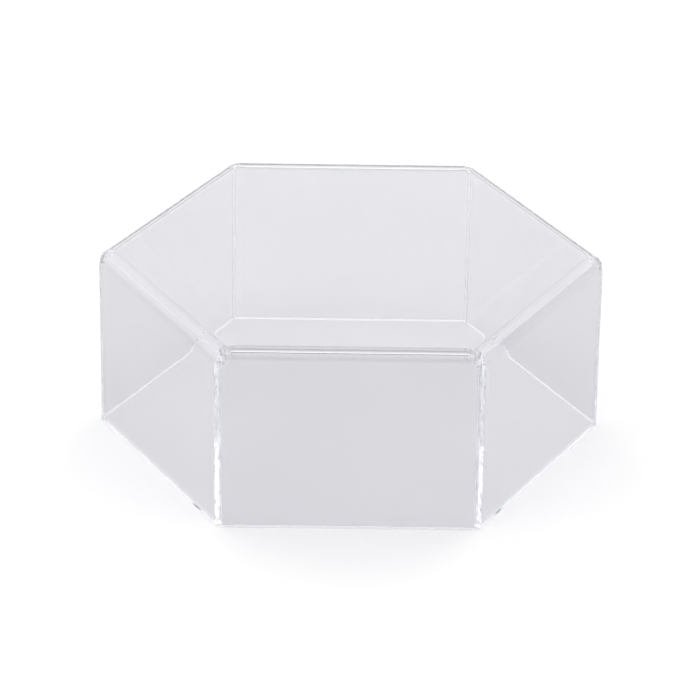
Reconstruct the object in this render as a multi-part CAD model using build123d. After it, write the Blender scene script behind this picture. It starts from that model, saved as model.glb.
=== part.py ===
from build123d import *
import os
from math import cos, radians, sin, tan

# A clear six-sided display riser. One sheet is cut as a hexagon with six flaps, every flap is bent straight
# down on a hot line, and the six upright corners are closed with cement. The underside is open.

os.makedirs("parts", exist_ok=True)

# Driving dimensions, in millimetres. The origin is the middle of the footprint, on the surface it stands on.
# +X points at one corner of the hexagon, and the front flap faces -Y.
SIDE = 101.6  # one side of the hexagon outside, from sharp corner to sharp corner
HEIGHT = 76.2  # from the foot of the flaps to the top of the deck
SHEET = 3.175  # thickness of the sheet
BEND_OUTSIDE = 5.6  # outside radius of a bend between deck and flap
RELIEF_DIAMETER = 3.4  # hole where two bend lines cross, drilled so that the bends don't pull the sheet
RELIEF_SETBACK = 4.0  # from the sharp corner of the deck to the middle of that hole
ROOT_GAP = 0.3  # between two flap ends, where their inside faces meet
CEMENT_DEPTH = 1.4  # how far the cement comes out of the root of a corner groove
CEMENT_FOOT = 0.5  # from the surface it stands on up to the lower end of the cement
OVERCUT = 1.0  # how far a cutting tool reaches past what it cuts
CORNERS = ("right", "back_right", "back_left", "left", "front_left", "front_right")

# Worked out from the dimensions above. The flap ends are cut square to the sheet, so each corner is a groove
# that opens outwards, and its two walls lean away from the corner's diagonal by half of the turn.
TURN = 360 / len(CORNERS)
LEAN = radians(TURN / 2)
BEND_INSIDE = BEND_OUTSIDE - SHEET
FLAP_END_SETBACK = (ROOT_GAP / 2 + SHEET * sin(LEAN)) / cos(LEAN)
GROOVE_SETBACK = FLAP_END_SETBACK / sin(LEAN)
ROOT_SETBACK = SHEET * cos(LEAN) + FLAP_END_SETBACK * sin(LEAN)


def domed_prism(side, height, radius):
    """A hexagonal prism on the floor, with the edges of its top rounded as the bends are."""
    prism = extrude(RegularPolygon(radius=side, side_count=len(CORNERS)), amount=height)
    rim = prism.edges().group_by(Axis.Z)[-1]
    return fillet(rim, radius=radius)


def corner_frame(index):
    """Where a corner stands: its origin is the sharp corner, and its +X points straight outwards."""
    return Rot(0, 0, index * TURN) * Pos(SIDE, 0, 0)


def groove_half_width(x):
    """Half of the groove's width at a distance x along the corner's diagonal. Inwards is negative."""
    return (x + GROOVE_SETBACK) * tan(LEAN)


def groove_column(inner, outer, foot, top):
    """The upright column of a corner groove between two distances along the diagonal and two heights."""
    outline = Polygon(
        (inner, -groove_half_width(inner)),
        (outer, -groove_half_width(outer)),
        (outer, groove_half_width(outer)),
        (inner, groove_half_width(inner)),
        align=None,
    )
    return Pos(0, 0, foot) * extrude(outline, amount=top - foot, dir=(0, 0, 1))


def folded_sheet():
    """The deck and its six flaps, with a relief hole and an open groove at each corner."""
    inside_side = SIDE - SHEET / cos(LEAN)
    sheet = domed_prism(SIDE, HEIGHT, BEND_OUTSIDE)
    sheet -= domed_prism(inside_side, HEIGHT - SHEET, BEND_INSIDE)
    groove = groove_column(-ROOT_SETBACK - ROOT_GAP / 4, OVERCUT, -OVERCUT, HEIGHT + OVERCUT)
    relief_depth = 2 * BEND_OUTSIDE
    relief = Pos(-RELIEF_SETBACK, 0, HEIGHT) * Cylinder(RELIEF_DIAMETER / 2, relief_depth)
    for index in range(len(CORNERS)):
        sheet -= corner_frame(index) * groove
        sheet -= corner_frame(index) * relief
    return sheet


def corner_cement(index):
    """The bar of cured cement in the root of one corner groove, up to where the bends begin."""
    bar = groove_column(-ROOT_SETBACK, CEMENT_DEPTH - ROOT_SETBACK, CEMENT_FOOT, HEIGHT - BEND_OUTSIDE)
    return corner_frame(index) * bar


nodes = {"folded_sheet": folded_sheet()}
for index, corner in enumerate(CORNERS):
    nodes[f"corner_cement_{corner}"] = corner_cement(index)

for name, solid in nodes.items():
    export_step(solid, f"parts/{name}.step")
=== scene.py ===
import bisect
import math
import random

import bmesh
import bpy
from mathutils import Matrix, Vector


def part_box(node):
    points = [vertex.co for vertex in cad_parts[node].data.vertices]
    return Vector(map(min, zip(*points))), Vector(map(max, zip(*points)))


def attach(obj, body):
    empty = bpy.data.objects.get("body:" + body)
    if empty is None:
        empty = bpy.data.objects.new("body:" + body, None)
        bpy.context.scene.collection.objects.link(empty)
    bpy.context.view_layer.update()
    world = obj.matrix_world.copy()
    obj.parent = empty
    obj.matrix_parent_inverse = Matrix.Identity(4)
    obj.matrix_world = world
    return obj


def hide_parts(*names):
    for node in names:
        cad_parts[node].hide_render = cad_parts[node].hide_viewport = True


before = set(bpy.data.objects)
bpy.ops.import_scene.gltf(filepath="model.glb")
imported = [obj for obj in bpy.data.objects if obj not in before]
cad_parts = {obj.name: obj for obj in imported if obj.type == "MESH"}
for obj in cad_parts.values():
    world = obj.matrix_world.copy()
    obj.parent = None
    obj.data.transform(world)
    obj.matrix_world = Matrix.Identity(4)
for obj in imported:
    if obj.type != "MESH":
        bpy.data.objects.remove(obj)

# A clear six-sided display riser: one folded acrylic sheet and six beads of cement in its corner grooves.
# Everything is in metres, in the CAD's frame: the front flap faces -Y and +X points at a corner.

MM = 0.001
CORNERS = ("right", "back_right", "back_left", "left", "front_left", "front_right")
TURN = math.radians(60)
LEAN = TURN / 2  # between a flap's cut end and the diagonal of its corner
MITRE = math.tan(TURN)  # y over x along the line where two bends meet

# ---------------------------------------------------------------- sizes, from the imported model
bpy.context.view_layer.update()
sheet_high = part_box("folded_sheet")[1]
BEAD_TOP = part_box("corner_cement_right")[1].z
HEIGHT = sheet_high.z
APOTHEM = sheet_high.y
SIDE = APOTHEM / math.cos(LEAN)
SHEET = 3.175 * MM
BEND_LENGTH = 16.0 * MM  # of heated sheet, measured on its outer skin
ROOT_GAP = 0.3 * MM  # between two flap ends, where their inside faces meet
END = (ROOT_GAP / 2 + SHEET * math.sin(LEAN)) / math.cos(LEAN)  # from the sharp corner to a flap's cut end
HOLE_RADIUS = 1.7 * MM
HOLE_SETBACK = 4.0 * MM  # from the sharp corner of the deck to the middle of its relief hole
HOLE_X = HOLE_SETBACK * math.cos(TURN)
HOLE_Y = HOLE_SETBACK * math.sin(TURN)
EDGE_BREAK = 0.09 * MM
BLEND = 2.5 * MM  # over this length the normals of two bends run into each other beside their mitre

# How fine the mesh is
PROFILE_STEPS = 3000
BEND_STRIPS = 52
HOLE_STEPS = 24
CLOSEST = 0.02 * MM  # no two rows of vertices across a bend are nearer than this
MERGE = 0.002 * MM
TOUCH = 1e-9
SHARP_ANGLE = math.radians(35)

# What a face of the sheet is finished like, and how its normals are worked out
POLISHED, CUT, FOOT = 0, 1, 2
FLAT, OUTER_BEND, INNER_BEND, BORE = 0, 1, 2, 3


# ---------------------------------------------------------------- shape of a bend
def bend_slope(share):
    """Slope of the sheet at a share of the heated strip. Its curvature fades in and out along the strip."""
    s = share - 0.5
    return math.pi / 4 + math.pi * s / 2 + math.sin(2 * math.pi * s) / 4


def bend_profile():
    """The outer skin of a bend as rows of (y inwards, height, slope), from the flap to the deck."""
    step = BEND_LENGTH / PROFILE_STEPS
    y = z = 0.0
    rows = [(0.0, 0.0, 0.0)]
    for i in range(PROFILE_STEPS):
        slope = bend_slope((i + 0.5) / PROFILE_STEPS)
        y += math.sin(slope) * step
        z += math.cos(slope) * step
        rows.append((y, z, bend_slope((i + 1) / PROFILE_STEPS)))
    rise = HEIGHT - z
    return [(y, z + rise, slope) for y, z, slope in rows]


OUTER = bend_profile()
INNER = [(y + SHEET * math.cos(a), z - SHEET * math.sin(a), a) for y, z, a in OUTER]
OUTER_Y = [row[0] for row in OUTER]
INNER_Y = [row[0] for row in INNER]
SPRING = OUTER[0][1]  # height at which a flap stops being flat and the bend begins
SETBACK = OUTER[-1][0]  # from a flap's outer face to the line where the deck becomes flat


def along(rows, keys, y):
    """Height and slope of a skin at a distance y inwards from the flap's outer face."""
    i = min(max(bisect.bisect_left(keys, y), 1), len(rows) - 1)
    low, high = rows[i - 1], rows[i]
    share = min(1.0, max(0.0, (y - low[0]) / (high[0] - low[0])))
    return low[1] + share * (high[1] - low[1]), low[2] + share * (high[2] - low[2])


def outer_z(y):
    return along(OUTER, OUTER_Y, y)[0]


def inner_z(y):
    return along(INNER, INNER_Y, y)[0]


# ---------------------------------------------------------------- shape of a relief hole
HOLE_TOP = HOLE_Y - math.sqrt(HOLE_RADIUS**2 - (END - HOLE_X) ** 2)  # y where it meets the cut end
HOLE_MITRE = (HOLE_SETBACK + HOLE_RADIUS) * math.sin(TURN)  # y where it meets the next bend
# Its floor is level with the top of the cement. HOLE_SEAT is the y where that floor reaches the inner skin.
HOLE_SEAT, HOLE_FLOOR = next(row[:2] for row in INNER if row[1] >= BEAD_TOP)


def hole_edge(y):
    """How far along the flap the relief hole reaches from the sharp corner, or None beside the hole."""
    across = y - HOLE_Y
    return HOLE_X + math.sqrt(HOLE_RADIUS**2 - across**2) if abs(across) < HOLE_RADIUS else None


def hole_bottom(y):
    """Height of the lower edge of the hole's wall: its floor, or the inner skin where that is higher."""
    return max(HOLE_FLOOR, inner_z(y)) if y > SHEET else HOLE_FLOOR


def strip_start(y):
    """Distance along a flap from the sharp corner to where the sheet begins."""
    return max(END, y / MITRE, hole_edge(y) or 0.0)


def strip_columns(y):
    """Where the columns of vertices beside one end of a bend stand, as distances from the sharp corner."""
    return [strip_start(y), strip_start(y) + BLEND]


def bend_levels():
    """The y values at which a bend is cut into strips, from the flap to the deck."""
    marks = []
    for i in range(1, BEND_STRIPS):
        row = len(OUTER) * i // BEND_STRIPS
        marks += [OUTER_Y[row], INNER_Y[row]]
    for i in range(1, HOLE_STEPS):
        y = HOLE_Y - HOLE_RADIUS * math.cos(math.pi * i / HOLE_STEPS)
        if HOLE_TOP < y < HOLE_MITRE:
            marks.append(y)
    kept = [0.0, HOLE_TOP, SHEET, HOLE_SEAT, HOLE_MITRE, SETBACK]
    for y in sorted(marks):
        if min(abs(y - k) for k in kept) > CLOSEST:
            kept.append(y)
    return sorted(kept)


# ---------------------------------------------------------------- mesh of the folded sheet
class Flap:
    """Makes the faces of one flap and its bend.

    A point is (side, x, y, z). side is -1 or 1, x runs along the flap from the sharp corner on that side,
    and y runs inwards from the flap's outer face.
    """

    def __init__(self, bm, kind, number):
        self.bm = bm
        self.kind = kind
        self.turn = Matrix.Rotation(number * TURN, 4, "Z")

    def vertex(self, side, x, y, z):
        return self.bm.verts.new(self.turn @ Vector((side * (SIDE / 2 - x), -APOTHEM + y, z)))

    def face(self, points, code, finish):
        made = self.bm.faces.new([self.vertex(*point) for point in points])
        made[self.kind] = code
        made.material_index = finish

    def band(self, a, b, height, columns_a, columns_b, code):
        """One strip of a skin, between two y values and from one end of the flap to the other."""
        low, high = height(a), height(b)
        for side in (-1, 1):
            for j in range(len(columns_a) - 1):
                corners = [(side, columns_a[j], a, low), (side, columns_a[j + 1], a, low),
                           (side, columns_b[j + 1], b, high), (side, columns_b[j], b, high)]
                self.face(corners, code, POLISHED)
        corners = [(-1, columns_a[-1], a, low), (1, columns_a[-1], a, low),
                   (1, columns_b[-1], b, high), (-1, columns_b[-1], b, high)]
        self.face(corners, code, POLISHED)

    def flat(self, y, columns):
        """The flat part of one face of the flap. Its top has the columns of the bend's first strip."""
        top = [(1, x, y, SPRING) for x in columns] + [(-1, x, y, SPRING) for x in reversed(columns)]
        self.face([(-1, END, y, 0), (1, END, y, 0)] + top, FLAT, POLISHED)

    def skins(self, levels):
        """The outer and inner skins, and the foot that joins them."""
        below_seat = [END] + strip_columns(HOLE_SEAT)
        for a, b in zip(levels, levels[1:]):
            self.band(a, b, outer_z, strip_columns(a), strip_columns(b), OUTER_BEND)
            if a >= HOLE_SEAT - TOUCH:
                self.band(a, b, inner_z, strip_columns(a), strip_columns(b), INNER_BEND)
            elif a >= SHEET - TOUCH:
                self.band(a, b, inner_z, below_seat, below_seat, INNER_BEND)
        self.flat(0, strip_columns(0))
        self.flat(SHEET, below_seat)
        self.face([(-1, END, 0, 0), (1, END, 0, 0), (1, END, SHEET, 0), (-1, END, SHEET, 0)], FLAT, FOOT)

    def end(self, side, levels):
        """The cut end of the flap, the floor of its half of the relief hole, and that hole's wall."""

        def between(low, high):
            return [y for y in levels if low - TOUCH <= y <= high + TOUCH]

        upright = ((0, 0), (SHEET, 0), (SHEET, SPRING), (0, SPRING))
        self.face([(side, END, y, z) for y, z in upright], FLAT, CUT)
        inner_edge = [(side, END, y, inner_z(y)) for y in between(SHEET, HOLE_SEAT)]
        outer_edge = [(side, END, y, outer_z(y)) for y in reversed(between(0.0, HOLE_TOP))]
        self.face(inner_edge + [(side, END, HOLE_TOP, HOLE_FLOOR)] + outer_edge, FLAT, CUT)
        rim = [(side, strip_start(y), y, HOLE_FLOOR) for y in between(HOLE_TOP, HOLE_SEAT)]
        self.face(rim + [(side, END, HOLE_SEAT, HOLE_FLOOR)], FLAT, CUT)
        wall = between(HOLE_TOP, HOLE_MITRE)
        for a, b in zip(wall, wall[1:]):
            corners = [(side, strip_start(a), a, hole_bottom(a)), (side, strip_start(b), b, hole_bottom(b)),
                       (side, strip_start(b), b, outer_z(b)), (side, strip_start(a), a, outer_z(a))]
            self.face(corners, BORE, CUT)


def add_deck_face(bm, kind, z):
    """One face of the deck, out to the lines where the bends begin."""
    corner = (APOTHEM - SETBACK) * math.tan(LEAN)
    column = SIDE / 2 - SETBACK / MITRE - BLEND
    ring = []
    for number in range(len(CORNERS)):
        turn = Matrix.Rotation(number * TURN, 4, "Z")
        for x in (-column, column, corner):
            ring.append(bm.verts.new(turn @ Vector((x, -APOTHEM + SETBACK, z))))
    deck = bm.faces.new(ring)
    deck[kind] = FLAT
    deck.material_index = POLISHED


def sheet_mesh():
    """The whole folded sheet as one closed mesh, with its sharp edges broken."""
    bm = bmesh.new()
    kind = bm.faces.layers.int.new("kind")
    levels = bend_levels()
    for number in range(len(CORNERS)):
        flap = Flap(bm, kind, number)
        flap.skins(levels)
        for side in (-1, 1):
            flap.end(side, levels)
    for z in (HEIGHT, HEIGHT - SHEET):
        add_deck_face(bm, kind, z)
    bmesh.ops.remove_doubles(bm, verts=bm.verts, dist=MERGE)
    bmesh.ops.recalc_face_normals(bm, faces=bm.faces)
    bm.normal_update()

    sharp = [e for e in bm.edges if len(e.link_faces) == 2 and e.calc_face_angle() > SHARP_ANGLE]
    made = bmesh.ops.bevel(bm, geom=sharp, offset=EDGE_BREAK, offset_type="OFFSET", segments=1, profile=0.5,
                           affect="EDGES", clamp_overlap=False, miter_outer="SHARP")
    for f in made["faces"]:
        f[kind] = FLAT
        f.material_index = FOOT if f.calc_center_median().z < 2 * EDGE_BREAK else CUT
    bmesh.ops.recalc_face_normals(bm, faces=bm.faces)
    return bm, kind


def flap_turn(middle):
    """The turn that brings the flap nearest to a point round to the front."""
    number = round(math.atan2(middle.x, -middle.y) / TURN)
    return Matrix.Rotation(-number * TURN, 3, "Z")


def curved_normal(code, point, middle):
    """The exact normal of a bend or of a hole's wall at a point on it. middle is the middle of its face."""
    to_front = flap_turn(middle)
    p = to_front @ point
    y = p.y + APOTHEM
    if code == BORE:
        hole = math.copysign(SIDE / 2 - HOLE_X, p.x)
        return to_front.transposed() @ Vector((hole - p.x, HOLE_Y - y, 0)).normalized()
    rows, keys, sign = (OUTER, OUTER_Y, 1) if code == OUTER_BEND else (INNER, INNER_Y, -1)
    slope = along(rows, keys, y)[1]
    normal = Vector((0, -math.cos(slope), math.sin(slope)))
    on_mitre = SIDE / 2 - abs(p.x) < y / MITRE + CLOSEST / 2
    if on_mitre and y > HOLE_MITRE - CLOSEST / 2:
        # level, and square to the mitre
        across = Vector((-math.cos(TURN), -math.copysign(math.sin(TURN), p.x), 0))
        normal = normal - normal.dot(across) * across
    return to_front.transposed() @ (sign * normal).normalized()


def sheet_object(name, material):
    """The sheet's object, with exact normals. Two attributes say how a face is finished and where it is, in
    millimetres in its own flap's frame."""
    bm, kind = sheet_mesh()
    mesh = bpy.data.meshes.new(name)
    codes = [f[kind] for f in bm.faces]
    finishes = [float(f.material_index) for f in bm.faces]
    for f in bm.faces:
        f.material_index = 0
    bm.to_mesh(mesh)
    bm.free()
    mesh.materials.append(material)
    normals = [None] * len(mesh.loops)
    places = [0.0] * (3 * len(mesh.loops))
    for poly, code in zip(mesh.polygons, codes):
        poly.use_smooth = True
        to_front = flap_turn(poly.center)
        for i in poly.loop_indices:
            point = mesh.vertices[mesh.loops[i].vertex_index].co
            normals[i] = poly.normal.copy() if code == FLAT else curved_normal(code, point, poly.center)
            places[3 * i : 3 * i + 3] = (to_front @ point + Vector((0, APOTHEM, 0))) / MM
    mesh.normals_split_custom_set(normals)
    mesh.attributes.new("finish", "FLOAT", "FACE").data.foreach_set("value", finishes)
    mesh.attributes.new("flap_frame", "FLOAT_VECTOR", "CORNER").data.foreach_set("vector", places)
    return mesh_object(mesh)


def mesh_object(mesh):
    made = bpy.data.objects.new(mesh.name, mesh)
    bpy.context.scene.collection.objects.link(made)
    return made


# ---------------------------------------------------------------- nodes
def math_node(tree, operation, a, b, clamp=True):
    node = tree.nodes.new("ShaderNodeMath")
    node.operation = operation
    node.use_clamp = clamp
    for socket, value in zip(node.inputs, (a, b)):
        if isinstance(value, float):
            socket.default_value = value
        else:
            tree.links.new(value, socket)
    return node.outputs["Value"]


def soft_step(tree, value, start, end):
    """0 at start, 1 at end, and smooth between them. It falls where start is the higher of the two."""
    node = tree.nodes.new("ShaderNodeMapRange")
    node.interpolation_type = "SMOOTHSTEP"
    node.inputs["From Min"].default_value = start
    node.inputs["From Max"].default_value = end
    tree.links.new(value, node.inputs["Value"])
    return node.outputs["Result"]


def noise(tree, where, scale, detail):
    node = tree.nodes.new("ShaderNodeTexNoise")
    node.inputs["Scale"].default_value = scale
    node.inputs["Detail"].default_value = detail
    tree.links.new(where, node.inputs["Vector"])
    return node.outputs["Fac"]


def streaks(tree, where, periods, turn):
    """Streaked noise for saw or milling marks. periods are its sizes in mm along the turned axes."""
    mapping = tree.nodes.new("ShaderNodeMapping")
    mapping.vector_type = "TEXTURE"
    mapping.inputs["Scale"].default_value = periods
    mapping.inputs["Rotation"].default_value = turn
    tree.links.new(where, mapping.inputs["Vector"])
    return noise(tree, mapping.outputs["Vector"], 1.0, 1.0)


def bump(tree, height, distance, under=None):
    node = tree.nodes.new("ShaderNodeBump")
    node.inputs["Strength"].default_value = 1.0
    node.inputs["Distance"].default_value = distance
    tree.links.new(height, node.inputs["Height"])
    if under is not None:
        tree.links.new(under, node.inputs["Normal"])
    return node.outputs["Normal"]


def ramp(tree, source, low, high, color_low, color_high):
    node = tree.nodes.new("ShaderNodeValToRGB")
    for stop, position, color in zip(node.color_ramp.elements, (low, high), (color_low, color_high)):
        stop.position = position
        stop.color = (*color, 1)
    tree.links.new(source, node.inputs["Fac"])
    return node.outputs["Color"]


def blend_colors(tree, share, a, b):
    node = tree.nodes.new("ShaderNodeMix")
    node.data_type = "RGBA"
    tree.links.new(share, node.inputs["Factor"])
    tree.links.new(a, node.inputs["A"])
    tree.links.new(b, node.inputs["B"])
    return node.outputs["Result"]


def from_mesh(tree, name, output):
    """A value that sheet_object() wrote on the mesh."""
    node = tree.nodes.new("ShaderNodeAttribute")
    node.attribute_name = name
    return node.outputs[output]


def object_place(tree):
    return tree.nodes.new("ShaderNodeTexCoord").outputs["Object"]


# ---------------------------------------------------------------- materials
ACRYLIC_IOR = 1.49
CEMENT_IOR = 1.48
TINT = (0.781, 0.781, 0.803)
TINT_DEEP = (0.771, 0.771, 0.794)
MILLED_TINTS = ((0.94, 0.94, 0.96), (0.99, 0.99, 1.0))
# Painted glints: light and dark streaks in the tint of the lower flap ends
PAINTED_GLINT_TINTS = ((0.6, 0.6, 0.62), (0.92, 0.92, 0.94))
SAWN_TINTS = ((0.88, 0.88, 0.9), (0.97, 0.97, 0.98))
CEMENT_TINT = (0.93, 0.93, 0.95)
CEMENT_TINTS = ((0.9, 0.9, 0.93), (0.97, 0.97, 0.985))
LOSS_COLOR = (0.5, 0.5, 0.56)
LOSS_DENSITY = 0.8  # per metre
SCORES_AND_PAINTED_GLINTS_BELOW = (36.0, 31.0)  # heights in millimetres, where score marks and painted glints on a flap end start and where they are full
SCORE_AND_PAINTED_GLINT_SIZES = ((6.0, 4.0, 1.2), (0.75, 0, 0))  # sizes in millimetres of the score marks and of the painted glint streaks, and how their axes are turned
TEETH = ((12.0, 9.0, 2.6), (0.75, 0, 0))
PASSES = ((3.0, 25.0, 25.0), (0, 0, 0.35))
END_ROUGHNESS = 0.11
FOOT_ROUGHNESS = 0.03
CEMENT_ROUGHNESS = 0.02
CAST_SCALE = 18.0  # of the noise, per metre
GRAIN_SCALE = 900.0
CLOUD_SCALE = 700.0
CAST_HEIGHT = 0.012 * MM
GRAIN_HEIGHT = 0.008 * MM
TEETH_HEIGHT = 0.2 * MM
SCORES_HEIGHT = 0.1 * MM
PASSES_HEIGHT = 0.01 * MM
CLOUD_HEIGHT = 0.02 * MM


def clear_material(name, roughness, tint, ior):
    """A Principled material of clear plastic, as its tree and its shader."""
    material = bpy.data.materials.new(name)
    material.use_nodes = True
    shader = material.node_tree.nodes["Principled BSDF"]
    shader.inputs["Transmission Weight"].default_value = 1.0
    shader.inputs["IOR"].default_value = ior
    shader.inputs["Roughness"].default_value = roughness
    shader.inputs["Base Color"].default_value = (*tint, 1)
    return material, material.node_tree, shader


def add_loss(tree):
    """Light is lost on its way through the acrylic, which shows where it runs along the sheet."""
    volume = tree.nodes.new("ShaderNodeVolumeAbsorption")
    volume.inputs["Color"].default_value = (*LOSS_COLOR, 1)
    volume.inputs["Density"].default_value = LOSS_DENSITY
    tree.links.new(volume.outputs["Volume"], tree.nodes["Material Output"].inputs["Volume"])


def scores_and_painted_glints_part(tree, flap):
    """0 on the upper part of a flap and 1 on the lower part, where its ends have score marks and painted
    glints.
    """
    split = tree.nodes.new("ShaderNodeSeparateXYZ")
    tree.links.new(flap, split.inputs["Vector"])
    return soft_step(tree, split.outputs["Z"], *SCORES_AND_PAINTED_GLINTS_BELOW)


def acrylic():
    """Clear cast sheet. Its cut edges are part of the same material, because the loss inside needs one."""
    material, tree, shader = clear_material("clear_acrylic", 0.0, TINT, ACRYLIC_IOR)
    add_loss(tree)
    finish = from_mesh(tree, "finish", "Fac")
    cut = math_node(tree, "MINIMUM", finish, 1.0)
    foot = math_node(tree, "SUBTRACT", finish, 1.0)
    end = math_node(tree, "SUBTRACT", cut, foot)
    where = object_place(tree)
    flap = from_mesh(tree, "flap_frame", "Vector")

    cast = noise(tree, where, CAST_SCALE, 1.0)
    grain = noise(tree, where, GRAIN_SCALE, 3.0)
    clear = ramp(tree, cast, 0.35, 0.65, TINT_DEEP, TINT)
    milled_and_painted_glints = ramp(tree, grain, 0.3, 0.7, *MILLED_TINTS)
    score_and_painted_glint_streaks = streaks(tree, flap, *SCORE_AND_PAINTED_GLINT_SIZES)
    low = scores_and_painted_glints_part(tree, flap)
    # Painted glints: light and dark streaks blended into the tint of the lower flap ends
    milled_and_painted_glints = blend_colors(tree, low, milled_and_painted_glints, ramp(tree, score_and_painted_glint_streaks, 0.4, 0.6, *PAINTED_GLINT_TINTS))
    sawn = ramp(tree, grain, 0.3, 0.7, *SAWN_TINTS)
    edges = blend_colors(tree, foot, milled_and_painted_glints, sawn)
    tree.links.new(blend_colors(tree, cut, clear, edges), shader.inputs["Base Color"])

    less = math_node(tree, "MULTIPLY", foot, END_ROUGHNESS - FOOT_ROUGHNESS)
    rough = math_node(tree, "SUBTRACT", math_node(tree, "MULTIPLY", cut, END_ROUGHNESS), less)
    tree.links.new(rough, shader.inputs["Roughness"])

    teeth = streaks(tree, flap, *TEETH)
    passes = streaks(tree, flap, *PASSES)
    relief = bump(tree, cast, CAST_HEIGHT)
    relief = bump(tree, math_node(tree, "MULTIPLY", grain, end), GRAIN_HEIGHT, relief)
    relief = bump(tree, math_node(tree, "MULTIPLY", teeth, end), TEETH_HEIGHT, relief)
    scores = math_node(tree, "MULTIPLY", math_node(tree, "MULTIPLY", score_and_painted_glint_streaks, low), end)
    relief = bump(tree, scores, SCORES_HEIGHT, relief)
    relief = bump(tree, math_node(tree, "MULTIPLY", passes, foot), PASSES_HEIGHT, relief)
    tree.links.new(relief, shader.inputs["Normal"])
    return material


def cured_cement():
    """Clear cement, a little cloudy where it took up air."""
    material, tree, shader = clear_material("cured_cement", CEMENT_ROUGHNESS, CEMENT_TINT, CEMENT_IOR)
    cloud = noise(tree, object_place(tree), CLOUD_SCALE, 2.0)
    tree.links.new(ramp(tree, cloud, 0.35, 0.7, *CEMENT_TINTS), shader.inputs["Base Color"])
    tree.links.new(bump(tree, cloud, CLOUD_HEIGHT), shader.inputs["Normal"])
    return material


# ---------------------------------------------------------------- mesh of a cement bead
ROOT = SHEET * math.cos(LEAN) + END * math.sin(LEAN)  # from the sharp corner in to the root of the groove
MOUTH = END / math.sin(LEAN)
BEAD_INSET = 0.01 * MM  # from the root of the groove out to the back of the bead
BEAD_END = 0.05 * MM  # from the end of the CAD's bar to the end of the bead
BEAD_DEPTH = 1.22 * MM
BEAD_SAG = 0.34 * MM  # how hollow its face is
BEAD_STEP = 0.4 * MM
END_ROUND = 1.2 * MM
WELD = 0.02 * MM  # how far the cement has softened into the cut ends
BUBBLES = 16
BUBBLE_BAND = 0.9 * MM  # the depth that bubbles' places are shares of
WALL_SHARES = (0.0, 0.25, 0.5, 0.75)  # of the bead's depth, where its side walls have vertices
FACE_POINTS = 9
FIRST_SEED = 40


def bead_waves(rng, count, longest, shortest, size):
    """A sum of waves along the bead, as a function of height."""
    waves = []
    for _ in range(count):
        frequency = 2 * math.pi / rng.uniform(shortest, longest)
        phase = rng.uniform(0, 6.28)
        waves.append((frequency, phase, rng.uniform(0.4, 1)))
    total = sum(weight for _, _, weight in waves)
    return lambda z: size * sum(weight * math.sin(f * z + phase) for f, phase, weight in waves) / total


def half_width(u):
    """Half of the bead's width at a distance u along the corner's diagonal. Inwards is negative."""
    return (u + MOUTH) * math.tan(LEAN) + WELD / math.cos(LEAN)


def bead_outline(depth, sag, tilt):
    """The outline of a bead across one height, as points (along the diagonal, across it)."""
    inner = -ROOT + BEAD_INSET
    outer = inner + depth
    walls = [(inner + depth * share, half_width(inner + depth * share)) for share in WALL_SHARES]
    outline = [(u, -v) for u, v in walls]
    for i in range(FACE_POINTS):
        s = -1 + 2 * i / (FACE_POINTS - 1)
        hollow = 1 - s * s
        outline.append((outer - sag * hollow + tilt * s * hollow, s * half_width(outer)))
    return outline + walls[::-1] + [(inner, 0)]


def add_bubbles(bm, rng, placed, low_z, high_z):
    """Small stretched bubbles in the bead, as closed surfaces that face inwards."""
    for _ in range(BUBBLES):
        radius = rng.uniform(0.05, 0.15) * MM
        u = -ROOT + BEAD_INSET + rng.uniform(0.45, 0.62) * BUBBLE_BAND
        v = rng.uniform(-0.4, 0.4) * (half_width(u) - radius)
        z = rng.uniform(low_z + 2 * MM, high_z - 2 * MM)
        stretch = Matrix.Diagonal((radius, radius, radius * rng.uniform(1.0, 2.2), 1))
        where = placed @ Matrix.Translation((u, v, z)) @ stretch
        made = bmesh.ops.create_icosphere(bm, subdivisions=2, radius=1.0, matrix=where)
        inside = {face for vertex in made["verts"] for face in vertex.link_faces}
        bmesh.ops.reverse_faces(bm, faces=list(inside))


def bead_mesh(index, node):
    """One bead: a solid bar with a hollow face, uneven along its length, with bubbles trapped in it."""
    rng = random.Random(FIRST_SEED + index)
    low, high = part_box(node)
    low_z, high_z = low.z + BEAD_END, high.z - BEAD_END
    deep = bead_waves(rng, 6, 16 * MM, 2.2 * MM, 0.16 * MM)
    hollow = bead_waves(rng, 5, 11 * MM, 1.6 * MM, 0.10 * MM)
    tilt = bead_waves(rng, 4, 9 * MM, 3.0 * MM, 0.12 * MM)
    placed = Matrix.Rotation(index * TURN, 4, "Z") @ Matrix.Translation((SIDE, 0, 0))

    bm = bmesh.new()
    rings = []
    steps = round((high_z - low_z) / BEAD_STEP)
    for i in range(steps + 1):
        z = low_z + (high_z - low_z) * i / steps
        from_end = min(z - low_z, high_z - z)
        fullness = math.sqrt(max(0.0, 1 - (1 - min(1.0, from_end / END_ROUND)) ** 2))
        depth = (BEAD_DEPTH + deep(z)) * (0.25 + 0.75 * fullness)
        sag = (BEAD_SAG + hollow(z)) * (0.3 + 0.7 * fullness)
        outline = bead_outline(depth, sag, tilt(z))
        rings.append([bm.verts.new(placed @ Vector((u, v, z))) for u, v in outline])
    count = len(rings[0])
    for lower, upper in zip(rings, rings[1:]):
        for j in range(count):
            k = (j + 1) % count
            bm.faces.new((lower[j], lower[k], upper[k], upper[j]))
    bm.faces.new(rings[0][::-1])
    bm.faces.new(rings[-1])
    bmesh.ops.recalc_face_normals(bm, faces=bm.faces)
    add_bubbles(bm, rng, placed, low_z, high_z)

    mesh = bpy.data.meshes.new(f"cement_bead_{CORNERS[index]}")
    bm.to_mesh(mesh)
    bm.free()
    mesh.shade_smooth()
    mesh.set_sharp_from_angle(angle=math.radians(40))
    return mesh


# ---------------------------------------------------------------- the pieces
sheet = sheet_object("riser_sheet", acrylic())
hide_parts("folded_sheet")
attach(sheet, "root")

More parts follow.
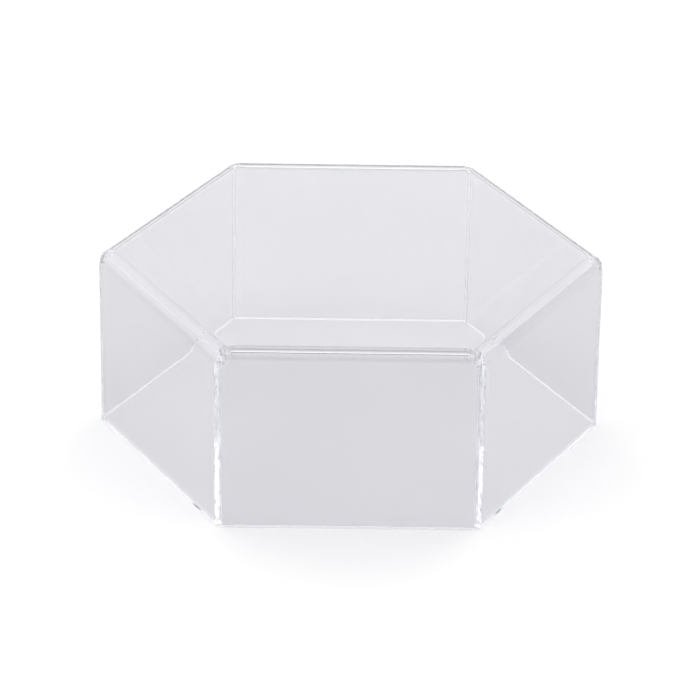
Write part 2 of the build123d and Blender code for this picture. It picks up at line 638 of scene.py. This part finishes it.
cement = cured_cement()
for index, corner in enumerate(CORNERS):
    node = f"corner_cement_{corner}"
    mesh = bead_mesh(index, node)
    mesh.materials.append(cement)
    bead = mesh_object(mesh)
    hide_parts(node)
    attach(bead, "root")

# ---------------------------------------------------------------- studio light
ROOM_LIGHT = 1.2
world = bpy.data.worlds.new("studio")
bpy.context.scene.world = world
world.use_nodes = True
studio = world.node_tree
background = studio.nodes["Background"]
background.inputs["Color"].default_value = (1, 1, 1, 1)
direction = studio.nodes.new("ShaderNodeTexCoord").outputs["Generated"]
split = studio.nodes.new("ShaderNodeSeparateXYZ")
studio.links.new(direction, split.inputs["Vector"])
SIDEWAYS = math_node(studio, "ABSOLUTE", split.outputs["X"], 0.0, clamp=False)
BACKWARDS = split.outputs["Y"]
UPWARDS = split.outputs["Z"]


def multiplied(a, b):
    return math_node(studio, "MULTIPLY", a, b, clamp=False)


def added(a, b):
    return math_node(studio, "ADD", a, b, clamp=False)


def sine(degrees):
    return math.sin(math.radians(degrees))


def cosine(degrees):
    return math.cos(math.radians(degrees))


def panel(azimuth, elevation, half_angle, fade, level, under):
    """A soft-edged disc of the studio, lighter or darker by level. Azimuth 90 is behind the object."""
    towards = studio.nodes.new("ShaderNodeVectorMath")
    towards.operation = "DOT_PRODUCT"
    out = cosine(elevation)
    towards.inputs[1].default_value = (out * cosine(azimuth), out * sine(azimuth), sine(elevation))
    studio.links.new(direction, towards.inputs[0])
    disc = soft_step(studio, towards.outputs["Value"], cosine(half_angle + fade), cosine(half_angle))
    return added(multiplied(disc, level), under)


def gap(elevation, half_height, half_width, fade, level, under):
    """A level strip behind the object, darker than the soft boxes round it. Its sizes are in degrees."""
    side_fade = 3
    low, high = elevation - half_height, elevation + half_height
    bottom = soft_step(studio, UPWARDS, sine(low - fade), sine(low))
    top = soft_step(studio, UPWARDS, sine(high + fade), sine(high))
    ends = soft_step(studio, SIDEWAYS, sine(half_width + side_fade), sine(half_width))
    behind = soft_step(studio, BACKWARDS, 0.05, 0.15)
    strip = multiplied(multiplied(bottom, top), multiplied(ends, behind))
    return added(multiplied(strip, level), under)


# Two soft boxes behind the object, right and left, and a small light between them for the deck
light = panel(54, 32, 13, 12, 1.5, ROOM_LIGHT)
light = panel(126, 32, 13, 12, 1.5, light)
light = panel(90, 28, 4, 6, 0.25, light)
# Dark strips that draw the thin lines along the front bend
light = gap(9.5, 2.5, 43, 1.5, -0.65, light)
light = gap(17.5, 4.0, 43, 1.5, -0.3, light)
light = gap(35.0, 3.0, 43, 1.5, -0.7, light)
light = gap(39.0, 7.0, 2.5, 1.0, -0.5, light)
# A low light on the left, and a darker patch of the room above the camera
light = panel(158, 10, 15, 12, 0.8, light)
light = panel(285, 46, 18, 12, -0.9, light)
studio.links.new(light, background.inputs["Strength"])

# ---------------------------------------------------------------- floor
FLOOR_REACH = 20.0
FLOOR_DROP = 0.02 * MM  # keeps the foot's faces and the floor apart
FLOOR_TONE = 0.905
floor_mesh = bpy.data.meshes.new("floor")
floor_corners = [(x * FLOOR_REACH, y * FLOOR_REACH, 0) for x, y in ((-1, -1), (1, -1), (1, 1), (-1, 1))]
floor_mesh.from_pydata(floor_corners, [], [(0, 1, 2, 3)])
floor = mesh_object(floor_mesh)
floor.location.z = -FLOOR_DROP
floor_paper = bpy.data.materials.new("floor_paper")
floor_paper.use_nodes = True
paper = floor_paper.node_tree.nodes["Principled BSDF"]
paper.inputs["Base Color"].default_value = (FLOOR_TONE, FLOOR_TONE, FLOOR_TONE, 1)
paper.inputs["Roughness"].default_value = 1.0
paper.inputs["Specular IOR Level"].default_value = 0.0
floor_mesh.materials.append(floor_paper)

# ---------------------------------------------------------------- how light is followed, and the camera
LIGHT_BOUNCES = 128  # light runs along inside the sheet for a long way
cycles = bpy.context.scene.cycles
cycles.max_bounces = LIGHT_BOUNCES
cycles.transmission_bounces = LIGHT_BOUNCES
cycles.glossy_bounces = LIGHT_BOUNCES
cycles.transparent_max_bounces = 32
cycles.blur_glossy = 0.0
bpy.context.scene.view_settings.view_transform = "Standard"

ELEVATION = math.radians(27.45)
AZIMUTH = math.radians(-0.15)
ROLL = math.radians(0.8)
DISTANCE = 16.06 * SIDE
centre = Vector((0, 0, HEIGHT / 2))
facing = Vector((math.sin(AZIMUTH), -math.cos(AZIMUTH), 0))
stand = centre + (math.cos(ELEVATION) * facing + Vector((0, 0, math.sin(ELEVATION)))) * DISTANCE
forward = (centre - stand).normalized()
right = forward.cross(Vector((0, 0, 1))).normalized()
up = right.cross(forward)
rolled_right = math.cos(ROLL) * right + math.sin(ROLL) * up
rolled_up = -math.sin(ROLL) * right + math.cos(ROLL) * up
lens = bpy.data.cameras.new("camera")
lens.sensor_width = 36
lens.lens = 208.1
lens.shift_y = -0.0184
camera = bpy.data.objects.new("camera", lens)
bpy.context.scene.collection.objects.link(camera)
camera.matrix_world = Matrix((
    (rolled_right.x, rolled_up.x, -forward.x, stand.x),
    (rolled_right.y, rolled_up.y, -forward.y, stand.y),
    (rolled_right.z, rolled_up.z, -forward.z, stand.z),
    (0, 0, 0, 1),
))
bpy.context.scene.camera = camera
